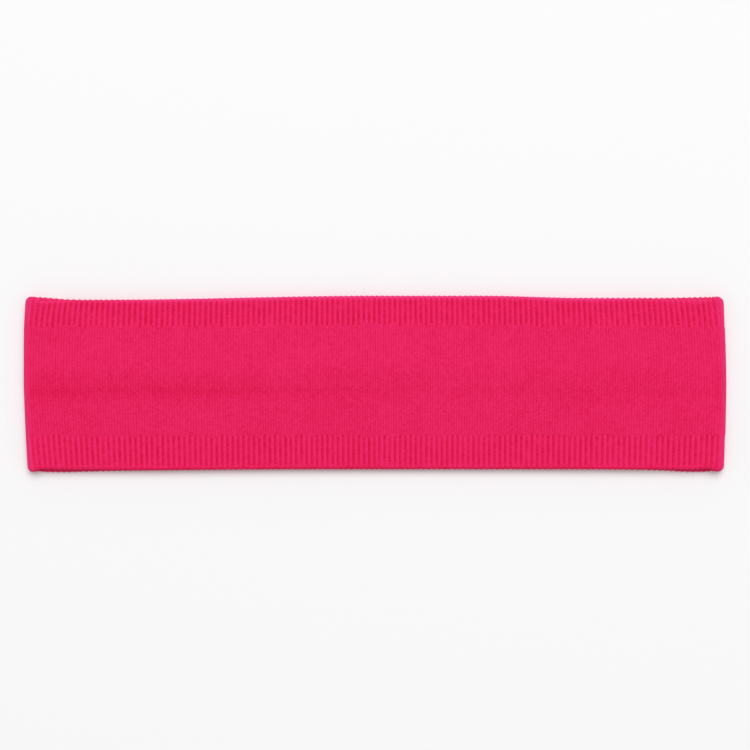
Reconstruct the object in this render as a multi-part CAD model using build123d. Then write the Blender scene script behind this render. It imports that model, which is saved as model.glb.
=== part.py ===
"""Seamless knitted sports headband, lying flat.

The band is a closed loop of elastic knit in two layers. The outer layer is a plain
knit panel. Its ribbed edges turn over and run back inside, where a lining reaches from
each edge to a linking seam round the middle. Elastic yarns are laid in between the two
layers of each ribbed edge.

Frame: +X along the flat band, +Y across its width, +Z up from the surface that it lies
on. The origin is the centre of the underside. All sizes are in millimetres.
"""
import os

from build123d import *

# The band as a whole
BAND_LENGTH = 225.0  # fold to fold
BAND_WIDTH = 56.5  # edge to edge
UPPER_RIB_WIDTH = 9.5  # of the upper ribbed edge, outside and again inside
LOWER_RIB_WIDTH = 11.0  # of the lower one, which the flat band shows more of
WALL = 2.0  # both layers together
OPENING = 0.6  # height of the head opening between the two flat plies

# The knit
RIB_LAYER = 0.95  # thickness of one layer of rib
PLAIN_LAYER = 0.75  # thickness of one layer of plain knit
SEAM_WIDTH = 1.8  # of the linking seam round the inside
SEAM_ROUND = 0.4  # rounding of the seam where it meets the outer panel

# The elastic yarns in each ribbed edge
ELASTIC_DIAMETER = 0.4
ELASTIC_CLEARANCE = 0.02  # round each yarn, between the stitches
ELASTICS_PER_EDGE = 5
ELASTIC_FIRST = 1.25  # from the edge to the outermost yarn
ELASTIC_PITCH = 1.8

# Worked out from the above
HEIGHT = 2 * WALL + OPENING
FOLD_X = (BAND_LENGTH - HEIGHT) / 2  # from the middle to the axis of each end fold
MID_Z = HEIGHT / 2
EDGE_Y = BAND_WIDTH / 2
PANEL_TOP = EDGE_Y - UPPER_RIB_WIDTH  # where the upper rib meets the panel and lining
PANEL_BOTTOM = LOWER_RIB_WIDTH - EDGE_Y  # where the lower rib does
SEAM_Y = SEAM_WIDTH / 2

# Distances from the mid-plane of the loop to the faces of one wall
INSIDE = OPENING / 2
OUTSIDE = INSIDE + WALL
WALL_MIDDLE = (INSIDE + OUTSIDE) / 2
LINING_BACK = INSIDE + PLAIN_LAYER
PANEL_BACK = OUTSIDE - PLAIN_LAYER

SECTION_PLANE = Plane(origin=(0, 0, MID_Z), x_dir=(0, 1, 0), z_dir=(1, 0, 0))


def rectangle(y_low, y_high, out_low, out_high):
    """Section of a flat layer, from y_low to y_high and out_low to out_high."""
    middle = ((y_low + y_high) / 2, (out_low + out_high) / 2)
    return Pos(*middle) * Rectangle(y_high - y_low, out_high - out_low)


def yarn_sections(side, radius):
    """Round sections of the elastic yarns of one edge, from the edge inwards."""
    from_edge = [ELASTIC_FIRST + i * ELASTIC_PITCH for i in range(ELASTICS_PER_EDGE)]
    return [Pos(side * (EDGE_Y - d), WALL_MIDDLE) * Circle(radius) for d in from_edge]


def ribbed_edge_section(side, width):
    """Hairpin section: an outer leg, a rounded fold, an inner leg and yarn channels."""
    fold_y = EDGE_Y - WALL / 2
    legs = rectangle(EDGE_Y - width, fold_y, OUTSIDE - RIB_LAYER, OUTSIDE)
    legs += rectangle(EDGE_Y - width, fold_y, INSIDE, INSIDE + RIB_LAYER)
    ring = Circle(WALL / 2) - Circle(WALL / 2 - RIB_LAYER)
    fold = (Pos(fold_y, WALL_MIDDLE) * ring) & rectangle(fold_y, EDGE_Y, INSIDE, OUTSIDE)
    section = legs + fold
    if side < 0:
        section = mirror(section, Plane.YZ)
    for channel in yarn_sections(side, ELASTIC_DIAMETER / 2 + ELASTIC_CLEARANCE):
        section -= channel
    return section


def seam_section():
    """The seam lies between the linings' edges and touches the outer panel."""
    body = rectangle(-SEAM_Y, SEAM_Y, INSIDE, PANEL_BACK)
    return fillet(body.vertices().group_by(Axis.Y)[-1], SEAM_ROUND)


def loop_quarters(section):
    """Carries a section round the flat loop, as two plies and two end folds."""
    start = Pos(-FOLD_X, 0, 0) * (SECTION_PLANE * section)
    end = Pos(FOLD_X, 0, 0) * (SECTION_PLANE * section)
    front_ply = extrude(start, amount=2 * FOLD_X, dir=(1, 0, 0))
    right_fold = revolve(end, Axis((FOLD_X, 0, MID_Z), (0, 1, 0)), 180)
    half_turn = Pos(0, 0, MID_Z) * Rot(0, 180, 0) * Pos(0, 0, -MID_Z)
    return [front_ply, right_fold, half_turn * front_ply, half_turn * right_fold]


def knit(section):
    """A fabric loop: four solids that meet face to face where the end folds begin."""
    return Compound(children=[s for part in loop_quarters(section) for s in part.solids()])


def yarn(section):
    """A yarn loop, as one solid."""
    first, *rest = loop_quarters(section)
    return first.fuse(*rest)


def make_nodes():
    """Every node of the headband, by name."""
    panel = rectangle(PANEL_BOTTOM, PANEL_TOP, PANEL_BACK, OUTSIDE)
    upper_lining = rectangle(SEAM_Y, PANEL_TOP, INSIDE, LINING_BACK)
    lower_lining = rectangle(PANEL_BOTTOM, -SEAM_Y, INSIDE, LINING_BACK)
    nodes = {
        "outer_panel": knit(panel),
        "upper_lining": knit(upper_lining),
        "lower_lining": knit(lower_lining),
        "linking_seam": knit(seam_section()),
    }
    for edge, side, width in (("upper", 1, UPPER_RIB_WIDTH), ("lower", -1, LOWER_RIB_WIDTH)):
        nodes[f"{edge}_ribbed_edge"] = knit(ribbed_edge_section(side, width))
        for number, section in enumerate(yarn_sections(side, ELASTIC_DIAMETER / 2), 1):
            nodes[f"{edge}_elastic_{number}"] = yarn(section)
    return nodes


os.makedirs("parts", exist_ok=True)
for name, node in make_nodes().items():
    export_step(node, f"parts/{name}.step")
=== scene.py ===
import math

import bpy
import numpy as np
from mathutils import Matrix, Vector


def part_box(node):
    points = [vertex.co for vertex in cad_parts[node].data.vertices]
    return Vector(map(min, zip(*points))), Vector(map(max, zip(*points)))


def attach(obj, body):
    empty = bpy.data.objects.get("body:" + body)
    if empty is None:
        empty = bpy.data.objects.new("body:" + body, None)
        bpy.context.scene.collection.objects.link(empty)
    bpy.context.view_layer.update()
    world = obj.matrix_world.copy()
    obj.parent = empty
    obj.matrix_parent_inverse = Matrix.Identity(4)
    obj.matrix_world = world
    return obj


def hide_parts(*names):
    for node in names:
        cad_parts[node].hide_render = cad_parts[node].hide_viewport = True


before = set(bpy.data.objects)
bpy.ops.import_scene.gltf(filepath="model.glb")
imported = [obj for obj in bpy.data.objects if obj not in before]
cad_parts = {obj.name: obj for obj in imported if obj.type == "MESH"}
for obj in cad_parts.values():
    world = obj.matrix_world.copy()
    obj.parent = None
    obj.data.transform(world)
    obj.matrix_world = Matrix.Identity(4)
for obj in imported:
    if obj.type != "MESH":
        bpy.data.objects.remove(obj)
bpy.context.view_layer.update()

# Looks of a seamless knitted sports headband that lies flat: a loop of two plies, each
# of two layers. Every knitted piece is one closed mesh on a shared grid. Its columns
# follow the wales round the loop, and its rows follow the piece's section across the
# band. A section is drawn flat, with y across the band and "out" measured outwards from
# the loop's middle plane; place() then lays it round the loop. Sizes are in millimetres
# until a mesh is made.

MM = 0.001


def box_mm(node):
    """Lowest and highest corner of a CAD node, in millimetres."""
    low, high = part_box(node)
    return np.array(low) / MM, np.array(high) / MM


# The band, from the frame
PANEL_LOW, PANEL_HIGH = box_mm("outer_panel")
LINING_HIGH = box_mm("upper_lining")[1]
SEAM_HIGH = box_mm("linking_seam")[1]
YARN_LOW, YARN_HIGH = box_mm("upper_elastic_1")
EDGE_Y = box_mm("upper_ribbed_edge")[1][1]
PANEL_TOP = PANEL_HIGH[1]
PANEL_BOTTOM = PANEL_LOW[1]
SEAM_Y = SEAM_HIGH[1]
OUTSIDE = PANEL_HIGH[2] / 2
PANEL_BACK = SEAM_HIGH[2] - OUTSIDE
LINING_BACK = LINING_HIGH[2] - OUTSIDE
YARN_RADIUS = (YARN_HIGH[1] - YARN_LOW[1]) / 2
YARN_OUT = YARN_HIGH[2] - OUTSIDE - YARN_RADIUS
INSIDE = 2 * YARN_OUT - OUTSIDE
WALL = OUTSIDE - INSIDE
FOLD_X = PANEL_HIGH[0] - OUTSIDE
PLY = 2 * FOLD_X
FOLD = math.pi * OUTSIDE
LOOP = 2 * (PLY + FOLD)

# The knit
RIBS = 264  # round the loop, each of one raised and one sunken wale
WALES = 2 * RIBS
WIDENING = 0.035  # of the wales near the end folds, and their narrowing halfway between
COURSE = 0.6
RIB_DEPTH = 0.42
RIB_POWER = 1.8  # over 1 makes the ribs broader than the grooves between them
WALE_DEPTH = 0.15
UPPER_RUN = 0.75  # of the ribs beyond each ribbed edge, into the plain knit
LOWER_RUN = 1.1
RIB_FADE = 0.65  # over which a rib runs out
WELT = 1.25  # from the edge to the raised course beside the crest
WELT_WIDTH = 0.16
WELT_HEIGHT = 0.04
POCKET = 0.22  # from the middle of a wall to each of its layers, over the yarns
LINING_COLUMNS = 2  # of the mesh, for each wale
OUTER_COLUMNS = 4
BORDER_ROWS = 0.7  # from the border of a ribbed edge, where its rows lie closer

# Where the ribs are stretched flatter: 1 would be quite flat
CREST = 0.7  # from the edge to the crest of its fold
UPPER_FLAT = 0.3  # how much flatter they are there, and over what reach
UPPER_REACH = 0.4
LOWER_FLAT = 0.75
LOWER_REACH = 1.0
EDGE_FLAT = 0.3  # how much flatter outside the crest
FOLD_FLAT = 0.15  # and round the band's end folds
FOLD_REACH = 2.5

# How light the knit is, as painted light and shade: 0 in the deepest groove and 1 on top of a rib
PLAIN_TONE = 0.85  # of plain wales
FURROW_SHADE = 0.6  # painted shade: how much darker the furrows between them are
LEG_LIGHT_AND_SHADE = 0.2  # painted highlight and shade: how much lighter one leg of a rib's stitches is, and darker the other
EDGE_LIGHT_AND_SHADE = 0.3  # painted light on the upper edge and painted shade on the lower: how much lighter the upper edge is, and how much darker the lower
WELT_HIGHLIGHT = 0.3  # painted highlight: how much nearer to 1 the raised course is

# Painted sheen, a paler pink on the upper edge and round the end folds: 1 is the upper edge
# halfway along the band
END_SHEEN = 0.65  # at the tip of an end fold
GROOVE_SHEEN = 0.5  # in the grooves of the upper edge
CREST_OUT = 0.1  # from the edge to where the painted sheen is strongest
CREST_REACH = 0.95
CORNER_SHEEN = 0.3  # of the upper edge towards its corners
CORNER_FROM = 15.0  # from an end fold, where the painted sheen on the upper edge begins to grow
CORNER_OVER = 25.0

# How the band lies
FLOOR_GAP = 0.01
SETTLE = 12.0  # from an end, over which the ply settles flat
DRAW = 40.0  # from an end, over which the wales follow its drawn-in corners
END_GAPE = 0.08  # opening of the loop at its stiff end folds
MIDDLE_GAPE = -0.1
CORNER_START = 1.6  # from an end fold, where the front ply's edge parts from the back's
SLIP_POWER = 2.5  # how suddenly the wales slip towards the edges

# By (end, edge), each corner of the band: how far it draws in, how suddenly, how far it is
# rounded, how far its wales slip round the end fold on to the front ply, and how far along
# the ply that shows
CORNERS = {
    (-1, 1): {"inset": 0.7, "power": 6.0, "round": 0.4, "slip": 1.05, "reach": 19},
    (-1, -1): {"inset": 1.15, "power": 1.1, "round": 0.4, "slip": 0.75, "reach": 19},
    (1, 1): {"inset": 0.95, "power": 1.6, "round": 0.8, "slip": 1.0, "reach": 50},
    (1, -1): {"inset": 0.66, "power": 1.4, "round": 0.75, "slip": 0.2, "reach": 15},
}

# By end, the upper edge: how far it sags inside its nominal line, from how far out and over
# what length; how far the back ply's edge rises by the end fold and over what reach; and
# how far the front ply's edge dips there and from where
UPPER_EDGE = {
    -1: {"sag": 1.25, "from": 0, "over": 85, "rise": 0.9, "reach": 9, "dip": 0.4, "near": 15},
    1: {"sag": 0.68, "from": 35, "over": 31, "rise": 0.35, "reach": 14, "dip": 0.6, "near": 22},
}
DIP_OVER = 8.0

# By end, the lower edge: how far it comes down again towards the end, how suddenly, and
# over what reach the front ply's edge is tucked up
LOWER_EDGE = {
    -1: {"drop": 1.0, "power": 2.5, "reach": 24},
    1: {"drop": 0.92, "power": 7.6, "reach": 18},
}
LOWER_LIFT = 0.8  # inside its nominal line, halfway along
LOWER_SPAN = 100.0  # from halfway along to where it is lowest
FOLD_LIFT = 0.25  # at the end folds
FOLD_LIFT_REACH = 3.0
TUCK = 0.95

# The front ply's crown, whose ridge lies a little above the lining's seam, and the crease
# along the crown's lower side
CROWN_HEIGHT = 0.6
CROWN_Y = 4.0
CROWN_SLOPE = 0.03
CROWN_ROUND = 2.0  # larger makes its ridge rounder
CREASE_Y = -2.4
CREASE_DEPTH = 0.12
CREASE_WIDTH = 0.8
CREASE_BEND = 0.25  # how far the crease wanders to both sides
CREASE_BEND_LENGTH = 21.0  # of that wave, over 2 pi
CREASE_MEAN = 0.6  # its mean depth, against 1 where it is deepest
CREASE_LENGTH = 24.0  # of the wave in its depth, over 2 pi
CREASE_PHASE = 2.2

# Low waves of the front ply, with their lengths along x and y, over 2 pi, and phases
LONG_WAVE = {"height": 0.07, "x": 17.0, "x_phase": 0.6, "y": 13.0, "y_phase": -0.4}
CROSS_WAVE = {"height": 0.05, "x": 9.5, "y": 8.0, "phase": 1.9, "swell": 31.0, "swell_phase": 0.3}

# Painted shade on the front ply: dark lines along the crease, as (y, width, darkness), mostly in
# the left half, and painted light on its upper part
CREASE_LINES = ((CREASE_Y, 3.2, 0.16), (CREASE_Y, 1.2, 0.13), (1.8, 1.3, 0.1))
RIGHT_SHADE = 0.35  # of the lines in the right half, against 1 at the left end
LEFT_FROM = 10.0  # left of the middle, where they begin to darken
LEFT_OVER = 50.0
UPPER_LIGHT = 0.07
UPPER_LIGHT_Y = 3.0
UPPER_LIGHT_OVER = 4.0

# Unevenness of the knit: the depth of each groove between ribs and of each plain wale,
# in steps across the band, and where each groove starts
SIZE_STEP = 1.6
SIZE_STEPS = 40
rng = np.random.default_rng(5)


def uneven_sizes(count, spread, limit):
    """Random sizes about 1, none further from it than the limit."""
    sizes = 1 + spread * rng.standard_normal((count, SIZE_STEPS))
    return np.clip(sizes, 1 - limit, 1 + limit)


RIB_SIZES = uneven_sizes(RIBS, 0.12, 0.4)
WALE_SIZES = uneven_sizes(WALES, 0.15, 0.6)
RIB_STARTS = rng.random(RIBS)

# The elastic yarns and the linking seam
YARN_SIDES = 6
YARN_UNEVEN = 0.06  # of a yarn's radius
YARN_TURNS = 2.2  # of that unevenness, in radians for each millimetre
LINK_POINTS = 12  # round a link of the seam
LINK_SIDES = 5
LINK_YARN = 0.17  # radius
LINK_REACH = 0.72  # half length of a link, in wales: over 0.5, so that links overlap
LINK_WIDTH = 0.52  # half width
LINK_RISE = 0.12  # of one end of a link, and fall of the other, so each lies over the next

# Colours, yarns and stitches
# DEEP_PINK is the pink in painted shade, at tone 0, and LIGHT_PINK the pink in painted highlight,
# at tone 1
DEEP_PINK = (0.63, 0.0025, 0.053, 1)
LIGHT_PINK = (0.78, 0.019, 0.133, 1)
SHEEN_PINK = (1.0, 0.15, 0.5, 1)
# the painted sheen's paler pink
SHEEN_RIM_PINK = (0.78, 0.038, 0.20, 1)
ELASTIC_DARK = (0.55, 0.16, 0.22, 1)
ELASTIC_LIGHT = (0.85, 0.42, 0.5, 1)
CLOTH_SPECULAR = 0.12
SHEEN_ROUGHNESS = 0.3
KNIT_ROUGHNESS = 0.8
KNIT_SHEEN = 0.35
YARN_ROUGHNESS = 0.7
YARN_SHEEN = 0.1
YARN_RIDGE = 0.05
SEAM_TWISTS = 4.0  # of the yarn, in a link of the seam
ELASTIC_TWISTS = 2.0  # in a millimetre
PLAIN_STITCH = 0.10  # depth of the stitches
RIB_STITCH = 0.08
STITCH_SLANT = 1.1  # of a stitch's legs, in courses for each wale
LEG_POWER = 0.7  # under 1 makes the legs broader than the gaps between them
LEG_END = 0.4  # height of a leg at its ends
STITCH_SHADE = 0.3  # painted shade in the gaps between legs
STITCH_UNEVEN = 0.4  # of the tone from stitch to stitch
FINE_UNEVEN = 1.1  # of the tone within a stitch
FINE_SCALE = 2300
FINE_DETAIL = 1.0
CLOUD_UNEVEN = 0.35  # of the tone over many stitches
CLOUD_SCALE = 80
CLOUD_DETAIL = 2.0

# Floor, light and camera, in metres, with the lens and its sensor in millimetres
FLOOR_HALF = 8.0
FLOOR_COLOUR = (0.785, 0.785, 0.79, 1)
FLOOR_ROUGHNESS = 0.9
FLOOR_SPECULAR = 0.1
WORLD_STRENGTH = 0.55
WINDOW_PLACE = (0.15, 1.1, 2.8)
WINDOW_SIZE = 2.35
WINDOW_POWER = 74
LENS = 100
SENSOR = 36
VIEW_WIDTH = 0.2394  # at the height of the front ply
VIEW_Y = 0.0028


# ---------------------------------------------------------------- how the band lies

def wale_place(wale):
    """s of a wale: they lie wider near the end folds than halfway along the plies."""
    s = wale * LOOP / WALES
    turn = 4 * math.pi / LOOP
    return s + WIDENING / turn * np.sin(turn * (s + FOLD / 2))


def round_loop(s):
    """x on the middle plane and the angle of the outward direction, s along the loop."""
    half, along = np.divmod(s % LOOP, PLY + FOLD)
    facing = 1 - 2 * half
    turn = np.clip((along - PLY) / FOLD, 0, 1) * math.pi
    x = (np.minimum(along, PLY) - FOLD_X) * facing
    return x, facing * math.pi / 2 - turn


def from_end(x):
    """Distance of a place on the ply from its nearer end fold."""
    return FOLD_X - np.abs(x)


def bell(distance, width):
    """1 at no distance, falling smoothly to 0 over about twice the width."""
    return np.exp(-((distance / width) ** 2))


def smooth_step(t):
    """0 up to t = 0 and 1 from t = 1, with a smooth slope between."""
    t = np.clip(t, 0, 1)
    return t**2 * (3 - 2 * t)


def by_corner(x, y, amount):
    """amount(corner) at each place, for the corner of the band that it is nearest to."""
    result = np.zeros(np.broadcast(x, y).shape)
    for (end, edge), corner in CORNERS.items():
        here = (x * end > 0) & (y * edge > 0)
        result = np.where(here, amount(corner), result)
    return result


def by_end(x, ends, amount):
    """amount(end) at each place, for the end of the band that it is nearest to."""
    return np.where(x < 0, amount(ends[-1]), amount(ends[1]))


def corner_inset(x, y):
    """How far the band's ends draw in towards its corners."""
    drawn = by_corner(x, y, lambda c: c["inset"] * (np.abs(y) / EDGE_Y) ** c["power"])
    rounded = by_corner(x, y, lambda c: c["round"] * bell(EDGE_Y - np.abs(y), WALL / 2))
    return drawn * np.exp(-from_end(x) / DRAW) + rounded * bell(from_end(x), WALL)


def slip(x, y):
    """How far the wales slip round the nearer end fold, on to the front ply."""
    edge = (np.abs(y) / EDGE_Y) ** SLIP_POWER
    return by_corner(x, y, lambda c: c["slip"] * edge * bell(from_end(x), c["reach"]))


def corner_start(end):
    """0 round an end fold and 1 on the ply beside it."""
    return 1 - bell(end, CORNER_START)


def upper_edge_shift(x, front):
    """How far the upper edge lies outside its nominal line, which it mostly lies inside.
    front is 1 on the front ply and 0 on the back."""
    end = from_end(x)
    sunk = by_end(x, UPPER_EDGE, lambda e: smooth_step((np.abs(x) - e["from"]) / e["over"]))
    sag = by_end(x, UPPER_EDGE, lambda e: e["sag"] * sunk)
    rise = by_end(x, UPPER_EDGE, lambda e: e["rise"] * bell(end, e["reach"]))
    dip = by_end(x, UPPER_EDGE, lambda e: e["dip"] * smooth_step((e["near"] - end) / DIP_OVER))
    return rise - sag - front * corner_start(end) * (rise + dip)


def lower_edge_shift(x, front):
    """How far the lower edge lies outside its nominal line."""
    end = from_end(x)
    far = np.minimum(np.abs(x) / LOWER_SPAN, 1)
    drop = by_end(x, LOWER_EDGE, lambda e: e["drop"] * far ** e["power"])
    tuck = by_end(x, LOWER_EDGE, lambda e: TUCK * bell(end, e["reach"]))
    both = drop - LOWER_LIFT - FOLD_LIFT * bell(end, FOLD_LIFT_REACH)
    return both - front * corner_start(end) * tuck


def edge_shift(x, y, front):
    """How far a place shifts along y with the edge that it is nearest to."""
    weight = (y / EDGE_Y) ** 2
    upper = upper_edge_shift(x, front)
    lower = -lower_edge_shift(x, front)
    return weight * np.where(y > 0, upper, lower)


def ripple(x, y):
    """Soft unevenness of the front ply."""
    lengthwise = np.sin(x / LONG_WAVE["x"] + LONG_WAVE["x_phase"])
    crosswise = np.cos(y / LONG_WAVE["y"] + LONG_WAVE["y_phase"])
    slanting = np.sin(x / CROSS_WAVE["x"] - y / CROSS_WAVE["y"] + CROSS_WAVE["phase"])
    swell = np.sin(x / CROSS_WAVE["swell"] + CROSS_WAVE["swell_phase"])
    long_wave = LONG_WAVE["height"] * (lengthwise * crosswise)
    return long_wave + CROSS_WAVE["height"] * (slanting * swell)


def crown(x, y):
    """The front ply rises to a low ridge and has a crease along the ridge's lower side."""
    slope = -CROWN_SLOPE * np.sqrt((y - CROWN_Y) ** 2 + CROWN_ROUND)
    bend = CREASE_Y + CREASE_BEND * np.sin(x / CREASE_BEND_LENGTH)
    strength = CREASE_MEAN + (1 - CREASE_MEAN) * np.sin(x / CREASE_LENGTH + CREASE_PHASE)
    return CROWN_HEIGHT + slope - CREASE_DEPTH * strength * bell(y - bend, CREASE_WIDTH)


def crease_shade(x, y):
    """Painted light on the front ply above its crease, and painted shade along it: how much
    lighter and darker it is there.
    """
    strength = RIGHT_SHADE + (1 - RIGHT_SHADE) * smooth_step((-x - LEFT_FROM) / LEFT_OVER)
    light = UPPER_LIGHT * smooth_step((y - UPPER_LIGHT_Y) / UPPER_LIGHT_OVER)
    dark = sum(darkness * bell(y - line, width) for line, width, darkness in CREASE_LINES)
    return light - strength * dark


def place(s, y, out):
    """Lays points of a flat section round the loop; returns x, y and z in millimetres."""
    x, _ = round_loop(s)
    x, angle = round_loop(s - np.sign(x) * slip(x, y))
    front = (1 + np.sin(angle)) / 2
    end = from_end(x)
    settle = np.exp(-end / SETTLE)
    gape = MIDDLE_GAPE + (END_GAPE - MIDDLE_GAPE) * settle
    inset = corner_inset(x, y) + gape * settle
    new_x = x - np.sign(x) * inset + np.cos(angle) * (out + gape)
    new_y = y + edge_shift(x, y, front)
    level = OUTSIDE + gape + front**2 * (ripple(x, y) + crown(x, y)) * (1 - settle)
    new_z = np.maximum(level + np.sin(angle) * (out + gape), FLOOR_GAP)
    return np.stack(np.broadcast_arrays(new_x, new_y, new_z), axis=-1)


# ---------------------------------------------------------------- the knit's relief, and its tone of painted light and shade

def rib_profile(wale):
    """Height of the ribs, 1 on a raised wale and 0 in the groove between two."""
    wave = np.cos(math.pi * (wale - 0.5))
    return 1 - ((1 - wave) / 2) ** RIB_POWER


def wale_profile(wale):
    """Height of the plain wales, 1 on the middle of each and 0 in the furrow between two."""
    return np.abs(np.sin(math.pi * wale))


def groove_number(wale):
    """Number of the groove between ribs that is nearest."""
    return ((wale + 1.5) / 2).astype(int) % RIBS


def rib_strength(wale, y):
    """1 where the ribs stand out fully and 0 in plain knit. They start unevenly, and are
    stretched flatter over the crest of the edge and round the end folds."""
    line = np.where(y > 0, PANEL_TOP - UPPER_RUN, -PANEL_BOTTOM - LOWER_RUN)
    begun = np.abs(y) - line - RIB_STARTS[groove_number(wale)]
    start = smooth_step(begun / RIB_FADE)
    from_edge = EDGE_Y - np.abs(y)
    outside = np.where(from_edge < CREST, EDGE_FLAT, 0)
    flat = np.where(y > 0, UPPER_FLAT, LOWER_FLAT)
    reach = np.where(y > 0, UPPER_REACH, LOWER_REACH)
    crest = outside + (flat - outside) * bell(from_edge - CREST, reach)
    x, _ = round_loop(wale_place(wale))
    fold = FOLD_FLAT * bell(from_end(x), FOLD_REACH)
    return start * (1 - crest) * (1 - fold)


def welt(y):
    """1 on the raised course beside the crest of an edge, and 0 elsewhere."""
    return bell(EDGE_Y - np.abs(y) - WELT, WELT_WIDTH)


def in_steps(sizes, number, y):
    """A row of a table of sizes, as a smooth run across the band."""
    step, part = np.divmod((y + EDGE_Y) / SIZE_STEP, 1)
    step = step.astype(int)
    return sizes[number, step] * (1 - part) + sizes[number, step + 1] * part


def groove_size(wale, y):
    """How deep the groove between ribs is, about 1."""
    return in_steps(RIB_SIZES, groove_number(wale), y)


def wale_size(wale, y):
    """How deep the furrow beside a plain wale is, about 1."""
    return in_steps(WALE_SIZES, (wale + 0.5).astype(int) % WALES, y)


def sink(wale, y, ribbing):
    """Depth of the surface under the yarns' highest line."""
    rib = RIB_DEPTH * groove_size(wale, y) * (1 - rib_profile(wale))
    plain = WALE_DEPTH * wale_size(wale, y) * (1 - wale_profile(wale))
    return plain + ribbing * np.maximum(rib - plain, 0)


def tone(wale, y, ribbing):
    """How light the knit is, from about 0 to about 1. It is painted light and shade: shade in the
    furrows and grooves, highlight on the ribs, on one side of each rib and on the raised course,
    light on the upper edge and shade on the lower, and light and shade about the crease.
    """
    x, angle = round_loop(wale_place(wale))
    # painted shade in the furrows between plain wales
    plain = PLAIN_TONE - FURROW_SHADE * wale_size(wale, y) * (1 - wale_profile(wale))
    # painted light above the crease and painted shade along it, on the front ply
    plain = plain + (angle > 0) * crease_shade(x, y)
    # painted highlight on the ribs and painted shade in the grooves between them
    rib = 1 - groove_size(wale, y) * (1 - rib_profile(wale))
    # painted highlight on one side of each rib and painted shade on the other
    rib = rib - LEG_LIGHT_AND_SHADE * np.sin(2 * math.pi * wale)
    knit = plain + ribbing * (rib - plain)
    # painted light on the upper edge, painted shade on the lower
    edge_light_shade = np.sign(y) * bell(EDGE_Y - np.abs(y), WELT)
    # painted highlight on the raised course beside the crest
    return knit + EDGE_LIGHT_AND_SHADE * edge_light_shade + (1 - knit) * WELT_HIGHLIGHT * welt(y)


def rim_sheen(wale, y, rough):
    """Painted sheen, a paler pink: along the upper edge and round the end folds."""
    x, angle = round_loop(wale_place(wale))
    from_corner = smooth_step((from_end(x) - CORNER_FROM) / CORNER_OVER)
    along = CORNER_SHEEN + (1 - CORNER_SHEEN) * from_corner
    on_rib = GROOVE_SHEEN + (1 - GROOVE_SHEEN) * rib_profile(wale)
    crest = bell(EDGE_Y - y - CREST_OUT, CREST_REACH) * on_rib * along
    return np.maximum(END_SHEEN * np.abs(np.cos(angle)), crest * rough)


# ---------------------------------------------------------------- sections across the band

OUTWARDS = (0, 1)
INWARDS = (0, -1)


class Section:
    """The closed outline of a piece's section, as points with outward directions. rough
    says how much of the knit's relief a point takes, and is 0 on its hidden back. The
    first point lies on a sharp corner."""

    def __init__(self):
        self.points = []
        self.directions = []
        self.rough = []
        self.corners = [0]

    def line(self, start, end, count, direction, rough=1.0):
        for t in np.linspace(0, 1, count):
            point = np.array(start) * (1 - t) + np.array(end) * t
            self.add(point, direction, rough)

    def spans(self, start, out, direction, spans):
        """A line across the band in spans of (gap, end, count). Each starts a gap beyond
        the last, so points can lie closer where the relief is finer."""
        for gap, end, count in spans:
            first = start + math.copysign(gap, end - start)
            self.line((first, out), (end, out), count, direction)
            start = end

    def arc(self, centre, radius, start, end, count, rough=1.0):
        """Points of an arc without its first and last, which lines already give. An arc
        of the hidden back faces its own centre."""
        for angle in np.linspace(math.radians(start), math.radians(end), count)[1:-1]:
            direction = np.array((math.cos(angle), math.sin(angle)))
            facing = direction if rough else -direction
            self.add(np.array(centre) + radius * direction, facing, rough)

    def add(self, point, direction, rough):
        self.points.append(point)
        self.directions.append(direction)
        self.rough.append(rough)

    def corner(self):
        """Marks the newest point as lying on a sharp corner."""
        self.corners.append(len(self.points) - 1)


def panel_section():
    """Outer panel. Its rows lie closer along the crease and where the ribs run out."""
    section = Section()
    section.spans(PANEL_BOTTOM, OUTSIDE, OUTWARDS, (
        (0, PANEL_BOTTOM + LOWER_RUN, 5),
        (1.0, CREASE_Y - 2 * CREASE_WIDTH, 13),
        (0.4, CREASE_Y + 2 * CREASE_WIDTH, 8),
        (1.1, PANEL_TOP - UPPER_RUN, 14),
        (0.17, PANEL_TOP, 3),
    ))
    section.corner()
    section.line((PANEL_TOP, PANEL_BACK), (PANEL_BOTTOM, PANEL_BACK), 3, INWARDS, 0.0)
    return section


def lining_section(low, high):
    """Half of the lining, with its visible side towards the head."""
    section = Section()
    section.line((high, INSIDE), (low, INSIDE), 14, INWARDS)
    section.corner()
    section.line((low, LINING_BACK), (high, LINING_BACK), 3, OUTWARDS, 0.0)
    return section


def rib_section(border, side):
    """Outer leg, fold and inner leg on the visible side, then back through the pocket.
    The rows lie closer at the border, where the ribs start, and along the welt."""
    section = Section()
    start_y = border + side * BORDER_ROWS
    welt_y = side * (EDGE_Y - WELT - 4 * WELT_WIDTH)
    fold_y = side * (EDGE_Y - WALL / 2)
    centre = (fold_y, YARN_OUT)
    outer_turn = (90, -90) if side > 0 else (90, 270)
    back_turn = (-90, 90) if side > 0 else (270, 90)
    section.spans(border, OUTSIDE, OUTWARDS, (
        (0, start_y, 5),
        (0.6, welt_y, 10),
        (0.12, fold_y, 7),
    ))
    section.arc(centre, WALL / 2, *outer_turn, 13)
    section.spans(fold_y, INSIDE, INWARDS, ((0, start_y, 6), (0.45, border, 2)))
    section.corner()
    back_low, back_high = YARN_OUT - POCKET, YARN_OUT + POCKET
    section.line((border, back_low), (fold_y, back_low), 2, OUTWARDS, 0.0)
    section.arc(centre, POCKET, *back_turn, 4, 0.0)
    section.line((fold_y, back_high), (border, back_high), 2, INWARDS, 0.0)
    return section


# ---------------------------------------------------------------- meshes

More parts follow.
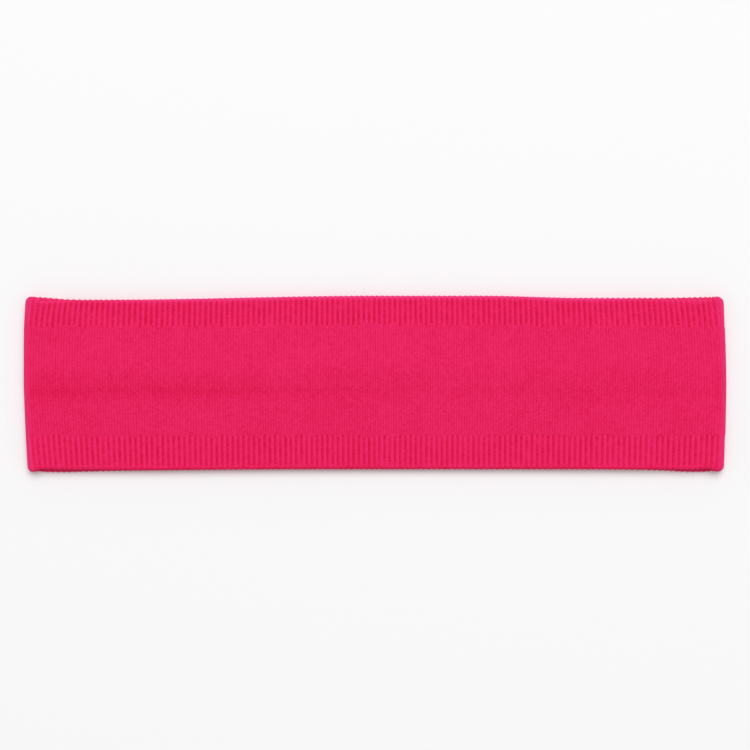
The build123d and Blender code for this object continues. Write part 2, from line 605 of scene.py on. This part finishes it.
def closed_grids(name, points, u, v, sharp_rows=()):
    """A mesh of closed grids. points has the axes grid, column, row and xyz, in
    millimetres. Columns and rows both close up. u and v are its knit coordinates, one
    more than there are columns and rows."""
    grids, columns, rows, _ = points.shape
    index = np.arange(grids * columns * rows).reshape(grids, columns, rows)
    next_column = np.roll(index, -1, axis=1)
    next_row = np.roll(index, -1, axis=2)
    opposite = np.roll(next_column, -1, axis=2)
    faces = np.stack([index, next_column, opposite, next_row], axis=-1).reshape(-1, 4)

    mesh = bpy.data.meshes.new(name)
    mesh.vertices.add(index.size)
    mesh.vertices.foreach_set("co", (points * MM).astype(np.float32).ravel())
    mesh.loops.add(faces.size)
    mesh.loops.foreach_set("vertex_index", faces.astype(np.int32).ravel())
    mesh.polygons.add(len(faces))
    mesh.polygons.foreach_set("loop_start", np.arange(0, faces.size, 4, dtype=np.int32))
    mesh.update(calc_edges=True)
    mesh.polygons.foreach_set("use_smooth", np.ones(len(faces), dtype=bool))

    corner_u = np.stack([u[:-1], u[1:], u[1:], u[:-1]], axis=-1)[None, :, None, :]
    corner_v = np.stack([v[:-1], v[:-1], v[1:], v[1:]], axis=-1)[None, None, :, :]
    shape = (grids, columns, rows, 4)
    uv = np.stack([np.broadcast_to(corner_u, shape), np.broadcast_to(corner_v, shape)], axis=-1)
    mesh.uv_layers.new(name="knit").uv.foreach_set("vector", uv.astype(np.float32).ravel())

    if sharp_rows:
        ends = np.empty(2 * len(mesh.edges), dtype=np.int32)
        mesh.edges.foreach_get("vertices", ends)
        row = (ends % rows).reshape(-1, 2)
        sharp = np.isin(row[:, 0], sharp_rows) & (row[:, 0] == row[:, 1])
        mesh.attributes.new("sharp_edge", "BOOLEAN", "EDGE").data.foreach_set("value", sharp)
    mesh.validate()
    piece = bpy.data.objects.new(name, mesh)
    bpy.context.scene.collection.objects.link(piece)
    return piece


def point_values(piece, name, values):
    """Stores a value for each point of a piece."""
    data = piece.data.attributes.new(name, "FLOAT", "POINT").data
    data.foreach_set("value", values.astype(np.float32).ravel())


def knitted(name, section, columns_per_wale):
    """A knitted piece of the band: its section laid round the loop, with the relief of the knit,
    and with its tone, which is painted light and shade, and its painted sheen as values for the
    material."""
    columns = WALES * columns_per_wale
    wale = (np.arange(columns) / columns_per_wale)[:, None]
    points = np.array(section.points)[None, :, :]
    facing = np.array(section.directions, dtype=float)[None, :, :]
    rough = np.array(section.rough)[None, :]
    y, out = points[..., 0], points[..., 1]
    ribbing = rib_strength(wale, y)
    depth = (sink(wale, y, ribbing) - WELT_HEIGHT * welt(y)) * rough
    placed = place(wale_place(wale), y - depth * facing[..., 0], out - depth * facing[..., 1])

    steps = np.linalg.norm(np.diff(points[0], axis=0, append=points[0, :1]), axis=-1)
    v = np.concatenate([[0], np.cumsum(steps)]) / COURSE
    u = np.arange(columns + 1) / columns_per_wale
    piece = closed_grids(name, placed[None], u, v, section.corners)
    shape = placed.shape[:2]
    # the "height" value is the knit's tone, painted light and shade, not a height
    point_values(piece, "height", np.broadcast_to(tone(wale, y, ribbing), shape))
    # the "stretched" value holds the painted sheen
    point_values(piece, "stretched", np.broadcast_to(rim_sheen(wale, y, rough), shape))
    return piece


def yarn_loop(name, y):
    """An elastic yarn that runs round the loop in the pocket of a ribbed edge."""
    s = (np.arange(WALES) * LOOP / WALES)[:, None]
    angle = (np.arange(YARN_SIDES) * 2 * math.pi / YARN_SIDES)[None, :]
    radius = YARN_RADIUS * (1 + YARN_UNEVEN * np.sin(s * YARN_TURNS + angle))
    placed = place(s, y + radius * np.cos(angle), YARN_OUT + radius * np.sin(angle))
    u = np.arange(WALES + 1) * LOOP / WALES
    v = np.arange(YARN_SIDES + 1) / YARN_SIDES
    return closed_grids(name, placed[None], u, v)


def seam_chain(name):
    """The linking seam: a chain of yarn loops, one for each wale, each over the next."""
    link = np.arange(WALES)[:, None, None]
    around = (np.arange(LINK_POINTS) * 2 * math.pi / LINK_POINTS)[None, :, None]
    turn = (np.arange(LINK_SIDES) * 2 * math.pi / LINK_SIDES)[None, None, :]
    along = (LINK_REACH * LOOP / WALES + LINK_YARN * np.cos(turn)) * np.cos(around)
    across = (LINK_WIDTH + LINK_YARN * np.cos(turn)) * np.sin(around)
    middle = INSIDE + LINK_YARN + LINK_RISE
    out = middle + LINK_RISE * np.cos(around) + LINK_YARN * np.sin(turn)
    placed = place(wale_place(link) + along, across, out)
    u = np.arange(LINK_POINTS + 1) / LINK_POINTS
    v = np.arange(LINK_SIDES + 1) / LINK_SIDES
    return closed_grids(name, placed, u, v)


# ---------------------------------------------------------------- materials

class Nodes:
    """A material with short calls that add its nodes."""

    def __init__(self, name):
        self.material = bpy.data.materials.new(name)
        self.material.use_nodes = True
        self.tree = self.material.node_tree
        self.shader = self.tree.nodes["Principled BSDF"]

    def add(self, kind, **settings):
        node = self.tree.nodes.new(kind)
        for key, value in settings.items():
            setattr(node, key, value)
        return node

    def join(self, source, socket):
        """Links a socket to another, or sets it to a constant."""
        if isinstance(source, bpy.types.NodeSocket):
            self.tree.links.new(source, socket)
        else:
            socket.default_value = source

    def math(self, operation, first, second=0.0):
        node = self.add("ShaderNodeMath", operation=operation)
        self.join(first, node.inputs[0])
        self.join(second, node.inputs[1])
        return node.outputs[0]

    def mix(self, factor, first, second):
        node = self.add("ShaderNodeMix", data_type="RGBA")
        self.join(factor, node.inputs["Factor"])
        self.join(first, node.inputs["A"])
        self.join(second, node.inputs["B"])
        return node.outputs["Result"]

    def value(self, name):
        return self.add("ShaderNodeAttribute", attribute_name=name).outputs["Fac"]

    def knit_coordinates(self):
        node = self.add("ShaderNodeUVMap", uv_map="knit")
        split = self.add("ShaderNodeSeparateXYZ")
        self.join(node.outputs["UV"], split.inputs[0])
        return split.outputs["X"], split.outputs["Y"]

    def noise(self, scale, detail):
        place_in_object = self.add("ShaderNodeTexCoord").outputs["Object"]
        node = self.add("ShaderNodeTexNoise")
        self.join(place_in_object, node.inputs["Vector"])
        node.inputs["Scale"].default_value = scale
        node.inputs["Detail"].default_value = detail
        return node.outputs["Fac"]

    def random_stitch(self, wale, course):
        """A number from 0 to 1 for each stitch."""
        cell = self.add("ShaderNodeCombineXYZ")
        self.join(self.math("FLOOR", wale), cell.inputs[0])
        self.join(self.math("FLOOR", course), cell.inputs[1])
        node = self.add("ShaderNodeTexWhiteNoise", noise_dimensions="2D")
        self.join(cell.outputs[0], node.inputs["Vector"])
        return node.outputs["Value"]

    def bump(self, height, distance):
        node = self.add("ShaderNodeBump")
        self.join(height, node.inputs["Height"])
        node.inputs["Distance"].default_value = distance * MM
        node.inputs["Strength"].default_value = 1.0
        self.join(node.outputs["Normal"], self.shader.inputs["Normal"])

    def cloth(self, roughness, sheen):
        self.shader.inputs["Roughness"].default_value = roughness
        self.shader.inputs["Specular IOR Level"].default_value = CLOTH_SPECULAR
        self.shader.inputs["Sheen Weight"].default_value = sheen
        self.shader.inputs["Sheen Roughness"].default_value = SHEEN_ROUGHNESS
        self.shader.inputs["Sheen Tint"].default_value = SHEEN_PINK


def stitches(nodes, wale, course):
    """Height of the V-shaped stitches, from 0 to 1: two slanting legs for each stitch."""
    from_middle = nodes.math("ABSOLUTE", nodes.math("SUBTRACT", nodes.math("FRACT", wale), 0.5))
    slant = nodes.math("MULTIPLY", from_middle, STITCH_SLANT)
    phase = nodes.math("FRACT", nodes.math("ADD", course, slant))
    leg = nodes.math("SINE", nodes.math("MULTIPLY", phase, math.pi))
    across = nodes.math("SINE", nodes.math("MULTIPLY", from_middle, 2 * math.pi))
    body = nodes.math("ADD", nodes.math("MULTIPLY", across, 1 - LEG_END), LEG_END)
    return nodes.math("MULTIPLY", nodes.math("POWER", leg, LEG_POWER), body)


def uneven_tone(nodes, wale, course):
    """The knit's tone from its mesh, which is painted light and shade, varied by random amounts
    that are 0 on average.
    """
    by_stitch = nodes.math("MULTIPLY", nodes.random_stitch(wale, course), STITCH_UNEVEN)
    fine = nodes.math("MULTIPLY", nodes.noise(FINE_SCALE, FINE_DETAIL), FINE_UNEVEN)
    cloudy = nodes.math("MULTIPLY", nodes.noise(CLOUD_SCALE, CLOUD_DETAIL), CLOUD_UNEVEN)
    varied = nodes.math("ADD", by_stitch, nodes.math("ADD", fine, cloudy))
    average = (STITCH_UNEVEN + FINE_UNEVEN + CLOUD_UNEVEN) / 2
    # the "height" value carries the knit's painted light and shade
    return nodes.math("SUBTRACT", nodes.math("ADD", nodes.value("height"), varied), average)


def knit_material(name, stitch_depth):
    """Knit whose colour follows its tone, which is painted light and shade, its stitches, with
    painted shade between their legs, and its painted sheen.
    """
    nodes = Nodes(name)
    wale, course = nodes.knit_coordinates()
    stitch = stitches(nodes, wale, course)
    # colour from the knit's painted light and shade
    by_tone = nodes.mix(uneven_tone(nodes, wale, course), DEEP_PINK, LIGHT_PINK)
    # painted shade in the gaps between the stitches' legs
    gap = nodes.math("MULTIPLY", nodes.math("SUBTRACT", 1.0, stitch), STITCH_SHADE)
    shaded = nodes.mix(gap, by_tone, DEEP_PINK)
    # painted sheen, a paler pink, from the "stretched" value
    colour = nodes.mix(nodes.value("stretched"), shaded, SHEEN_RIM_PINK)
    nodes.join(colour, nodes.shader.inputs["Base Color"])
    nodes.bump(stitch, stitch_depth)
    nodes.cloth(KNIT_ROUGHNESS, KNIT_SHEEN)
    return nodes.material


def yarn_material(name, dark, light, twists):
    """Twisted or covered yarn: slanting ridges along it, with painted shade between them."""
    nodes = Nodes(name)
    along, round_it = nodes.knit_coordinates()
    turn = nodes.math("ADD", nodes.math("MULTIPLY", along, twists), round_it)
    ridge = nodes.math("ABSOLUTE", nodes.math("SINE", nodes.math("MULTIPLY", turn, math.pi)))
    # painted shade between the ridges, from the ridges' height
    nodes.join(nodes.mix(ridge, dark, light), nodes.shader.inputs["Base Color"])
    nodes.bump(ridge, YARN_RIDGE)
    nodes.cloth(YARN_ROUGHNESS, YARN_SHEEN)
    return nodes.material


# ---------------------------------------------------------------- pieces

def finish_piece(piece, node, material):
    """Gives a piece its material, parents it to the root and hides the CAD node that it replaces.
    """
    piece.data.materials.append(material)
    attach(piece, "root")
    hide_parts(node)


def make_linings(plain):
    """The two halves of the lining."""
    linings = []
    for edge, low_y, high_y in (("upper", SEAM_Y, PANEL_TOP), ("lower", PANEL_BOTTOM, -SEAM_Y)):
        piece = knitted(f"{edge}_lining_knit", lining_section(low_y, high_y), LINING_COLUMNS)
        finish_piece(piece, f"{edge}_lining", plain)
        linings.append(piece)
    return linings


def make_panel(plain):
    panel = knitted("outer_panel_knit", panel_section(), OUTER_COLUMNS)
    finish_piece(panel, "outer_panel", plain)


def make_ribbed_edges(rib):
    for edge, side, border in (("upper", 1, PANEL_TOP), ("lower", -1, PANEL_BOTTOM)):
        section = rib_section(border, side)
        piece = knitted(f"{edge}_ribbed_edge_knit", section, OUTER_COLUMNS)
        finish_piece(piece, f"{edge}_ribbed_edge", rib)


def make_yarns(seam_yarn, elastic):
    finish_piece(seam_chain("linking_seam_chain"), "linking_seam", seam_yarn)
    for node in sorted(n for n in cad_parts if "_elastic_" in n):
        low, high = box_mm(node)
        piece = yarn_loop(f"{node}_yarn", (low[1] + high[1]) / 2)
        finish_piece(piece, node, elastic)


def make_pieces():
    plain = knit_material("plain_knit", PLAIN_STITCH)
    rib = knit_material("rib_knit", RIB_STITCH)
    seam_yarn = yarn_material("seam_yarn", DEEP_PINK, LIGHT_PINK, SEAM_TWISTS)
    elastic = yarn_material("elastic_yarn", ELASTIC_DARK, ELASTIC_LIGHT, ELASTIC_TWISTS)
    linings = make_linings(plain)
    make_panel(plain)
    make_ribbed_edges(rib)
    make_yarns(seam_yarn, elastic)


# ---------------------------------------------------------------- floor, light and camera

def make_floor():
    mesh = bpy.data.meshes.new("floor")
    around = ((-1, -1), (1, -1), (1, 1), (-1, 1))
    corners = [(x * FLOOR_HALF, y * FLOOR_HALF, 0) for x, y in around]
    mesh.from_pydata(corners, [], [(0, 1, 2, 3)])
    floor = bpy.data.objects.new("floor", mesh)
    bpy.context.scene.collection.objects.link(floor)
    nodes = Nodes("floor_paper")
    nodes.shader.inputs["Base Color"].default_value = FLOOR_COLOUR
    nodes.shader.inputs["Roughness"].default_value = FLOOR_ROUGHNESS
    nodes.shader.inputs["Specular IOR Level"].default_value = FLOOR_SPECULAR
    mesh.materials.append(nodes.material)


def make_window():
    """A large round lamp above and behind the band, turned to it."""
    light = bpy.data.lights.new("window", "AREA")
    light.shape = "DISK"
    light.size = WINDOW_SIZE
    light.energy = WINDOW_POWER
    lamp = bpy.data.objects.new("window", light)
    lamp.location = WINDOW_PLACE
    lamp.rotation_euler = (-Vector(WINDOW_PLACE)).to_track_quat("-Z", "Y").to_euler()
    bpy.context.scene.collection.objects.link(lamp)


def make_world():
    world = bpy.data.worlds.new("studio")
    world.use_nodes = True
    background = world.node_tree.nodes["Background"]
    background.inputs["Color"].default_value = (1, 1, 1, 1)
    background.inputs["Strength"].default_value = WORLD_STRENGTH
    bpy.context.scene.world = world


def make_camera():
    """Straight above, through a long lens."""
    camera = bpy.data.cameras.new("camera")
    camera.lens = LENS
    camera.sensor_width = SENSOR
    distance = VIEW_WIDTH * LENS / SENSOR
    viewer = bpy.data.objects.new("camera", camera)
    viewer.location = (0, VIEW_Y, distance + PANEL_HIGH[2] * MM)
    bpy.context.scene.collection.objects.link(viewer)
    bpy.context.scene.camera = viewer


bpy.context.scene.view_settings.view_transform = "Standard"
make_camera()
make_world()
make_window()
make_floor()
make_pieces()
